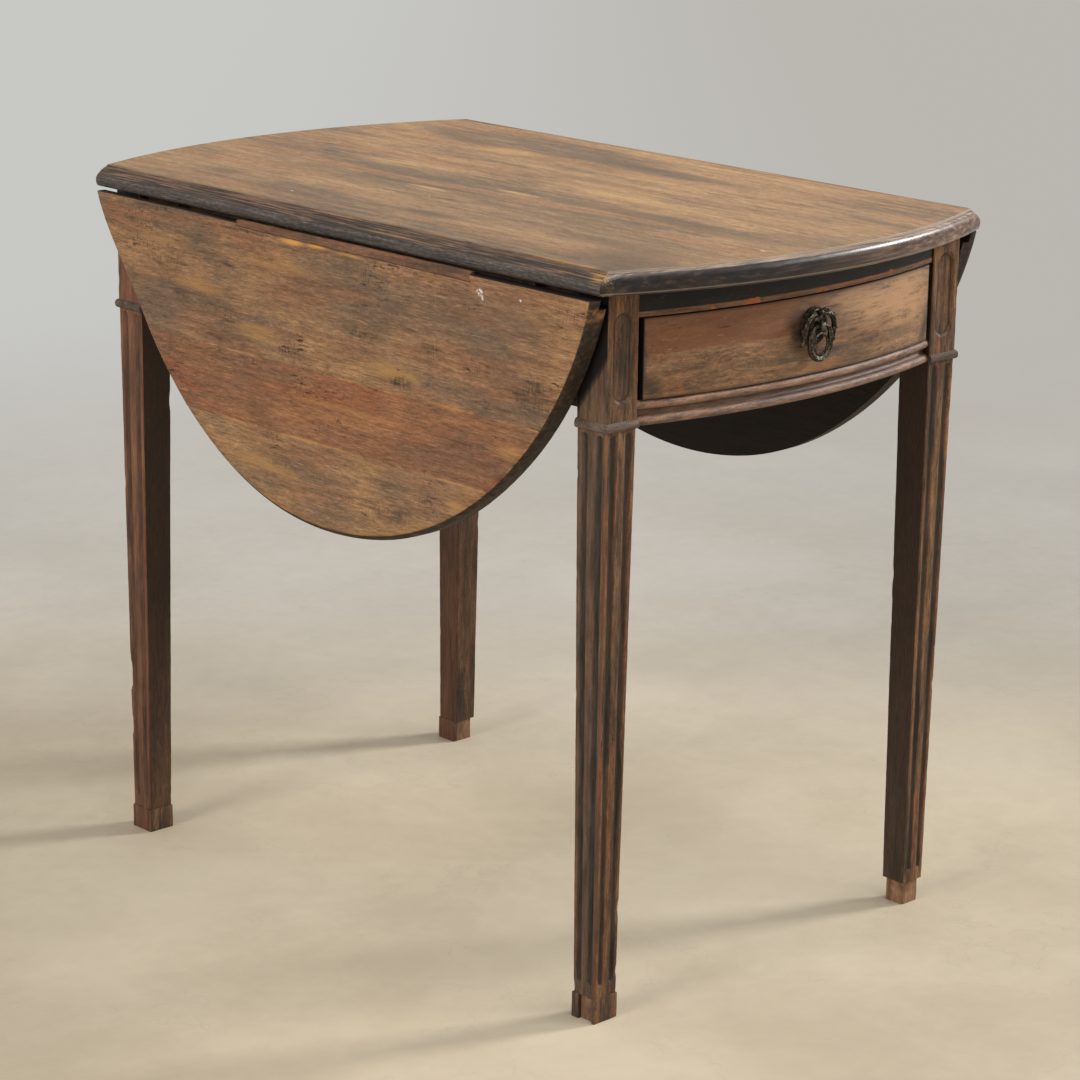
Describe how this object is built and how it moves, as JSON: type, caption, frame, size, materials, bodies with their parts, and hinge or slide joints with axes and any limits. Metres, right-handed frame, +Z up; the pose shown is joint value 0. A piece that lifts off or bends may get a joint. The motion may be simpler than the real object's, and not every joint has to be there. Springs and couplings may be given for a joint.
{
  "type": "pembroke table",
  "caption": "Small wooden table with a bow-ended fixed top, hinged drop leaves on both sides, a bowed end drawer with a ring pull, and fluted tapering legs.",
  "frame": {"origin": "on the floor under the middle of the fixed top", "axes": "+Z up, -Y towards the drawer end, -X and +X towards the two drop leaves"},
  "size_m": [0.556, 0.878, 0.75],
  "materials": {
    "top_wood": "worn satin",
    "leaf_wood": "worn satin",
    "dark_wood": "worn dark stain",
    "drawer_wood": "worn satin",
    "inner_wood": "bare",
    "hinge_iron": "rusty",
    "screw_steel": "dull",
    "pull_brass": "dark patina"
  },
  "bodies": {
    "frame": {"back_bottom_rail": "dark_wood", "back_panel": "dark_wood", "collar_back_left": "dark_wood", "collar_back_right": "dark_wood", "collar_front_left": "dark_wood", "collar_front_right": "dark_wood", "drawer_guide_left": "inner_wood", "drawer_guide_right": "inner_wood", "drawer_kicker_left": "inner_wood", "drawer_kicker_right": "inner_wood", "drawer_runner_left": "inner_wood", "drawer_runner_right": "inner_wood", "drawer_stops": "inner_wood", "fly_pin_left": "hinge_iron", "fly_pin_right": "hinge_iron", "fly_rail_left": "inner_wood", "fly_rail_right": "inner_wood", "foot_facings_back_left": "dark_wood", "foot_facings_back_right": "dark_wood", "foot_facings_front_left": "dark_wood", "front_bottom_rail": "dark_wood", "front_top_rail": "dark_wood", "glue_blocks": "inner_wood", "hinge_pins_left": "hinge_iron", "hinge_pins_right": "hinge_iron", "hinge_top_flaps_left": "hinge_iron", "hinge_top_flaps_right": "hinge_iron", "hinge_top_screws": "screw_steel", "leg_back_left": "dark_wood", "leg_back_right": "dark_wood", "leg_front_left": "dark_wood", "leg_front_right": "dark_wood", "side_rail_left": "inner_wood", "side_rail_right": "inner_wood", "top_board_left": "top_wood", "top_board_right": "top_wood", "top_screws": "screw_steel"},
    "left_leaf": {"left_leaf_edge_patch": "leaf_wood", "left_leaf_hinge_flaps": "hinge_iron", "left_leaf_hinge_screws": "screw_steel", "left_leaf_inner_board": "leaf_wood", "left_leaf_middle_board": "leaf_wood", "left_leaf_outer_board": "leaf_wood"},
    "right_leaf": {"right_leaf_hinge_flaps": "hinge_iron", "right_leaf_hinge_screws": "screw_steel", "right_leaf_inner_board": "leaf_wood", "right_leaf_middle_board": "leaf_wood", "right_leaf_outer_board": "leaf_wood"},
    "drawer": {"drawer_back": "inner_wood", "drawer_bottom": "inner_wood", "drawer_front": "drawer_wood", "drawer_side_left": "inner_wood", "drawer_side_right": "inner_wood", "pull_backplate": "pull_brass", "pull_nut": "screw_steel", "pull_post": "pull_brass"},
    "pull_ring": {"pull_ring": "pull_brass"},
    "fly_bracket_left": {"fly_bracket_left": "inner_wood"},
    "fly_bracket_right": {"fly_bracket_right": "inner_wood"}
  },
  "joints": [
    {"name": "left_leaf_hinge", "type": "hinge", "parent": "frame", "child": "left_leaf", "pos_m": [-0.263, 0, 0.735], "axis": [0, 1, 0], "range_deg": [0, 90]},
    {"name": "right_leaf_hinge", "type": "hinge", "parent": "frame", "child": "right_leaf", "pos_m": [0.263, 0, 0.735], "axis": [0, -1, 0], "range_deg": [0, 90]},
    {"name": "drawer_slide", "type": "slide", "parent": "frame", "child": "drawer", "axis": [0, -1, 0], "range_m": [0, 0.36]},
    {"name": "pull_ring_swing", "type": "hinge", "parent": "drawer", "child": "pull_ring", "pos_m": [0, -0.4105, 0.669], "axis": [-1, 0, 0], "range_deg": [0, 100]},
    {"name": "fly_bracket_left_swing", "type": "hinge", "parent": "frame", "child": "fly_bracket_left", "pos_m": [-0.2325, 0.075, 0.685], "axis": [0, 0, -1], "range_deg": [0, 6]},
    {"name": "fly_bracket_right_swing", "type": "hinge", "parent": "frame", "child": "fly_bracket_right", "pos_m": [0.2325, 0.075, 0.685], "axis": [0, 0, 1], "range_deg": [0, 6]}
  ]
}
